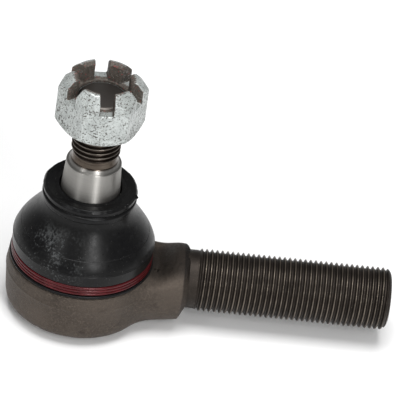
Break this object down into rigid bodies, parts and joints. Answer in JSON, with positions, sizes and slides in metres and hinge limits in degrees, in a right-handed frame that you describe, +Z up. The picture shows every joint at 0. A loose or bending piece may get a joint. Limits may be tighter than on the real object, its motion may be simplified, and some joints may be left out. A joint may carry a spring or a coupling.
{
  "type": "tie rod end",
  "caption": "Steering tie rod end: forged round housing with a threaded shank, a tapered ball stud with a slotted nut, and a rubber boot.",
  "frame": {"origin": "where the shank's axis crosses the stud's axis, in the middle of the eye", "axes": "+X out along the threaded shank, +Z up along the ball stud, +Y makes it right-handed"},
  "size_m": [0.1104, 0.0424, 0.0795],
  "materials": {
    "forged_steel": "forged steel, dark phosphate, satin",
    "machined_steel": "turned and ground, thread dark brown",
    "zinc_steel": "zinc plated, speckled",
    "seat_plastic": "moulded acetal",
    "spring_steel": "oiled spring steel",
    "cap_steel": "pressed steel",
    "boot_rubber": "moulded rubber, slightly dusty",
    "red_wire": "dark red coated wire"
  },
  "bodies": {
    "housing": {"housing": "forged_steel", "upper_ball_seat": "seat_plastic", "end_cap": "cap_steel", "preload_spring": "spring_steel", "boot_clamp_ring": "red_wire"},
    "lower_seat": {"lower_ball_seat": "seat_plastic"},
    "boot": {"dust_boot": "boot_rubber"},
    "boot_neck": {"boot_neck_ring": "spring_steel"},
    "stud": {"ball_stud": "machined_steel"},
    "nut": {"castle_nut": "zinc_steel"}
  },
  "joints": [
    {"name": "seat_preload", "type": "slide", "parent": "housing", "child": "lower_seat", "axis": [0, 0, -1], "range_m": [0, 0.0004], "stiffness_N_per_m": 2000, "springref_m": -0.002, "deforming": ["preload_spring"]},
    {"name": "side_tilt", "type": "hinge", "parent": "housing", "child": "boot", "pos_m": [0, 0, 0.001], "axis": [1, 0, 0], "range_deg": [-16, 16], "deforming": ["dust_boot"]},
    {"name": "fore_tilt", "type": "hinge", "parent": "boot", "child": "boot_neck", "pos_m": [0, 0, 0.001], "axis": [0, 1, 0], "range_deg": [-16, 16]},
    {"name": "stud_spin", "type": "hinge", "parent": "boot_neck", "child": "stud", "pos_m": [0, 0, 0.001], "axis": [0, 0, 1], "continuous": true},
    {"name": "nut_spin", "type": "hinge", "parent": "stud", "child": "nut", "pos_m": [0, 0, 0.058], "axis": [0, 0, 1], "continuous": true}
  ]
}
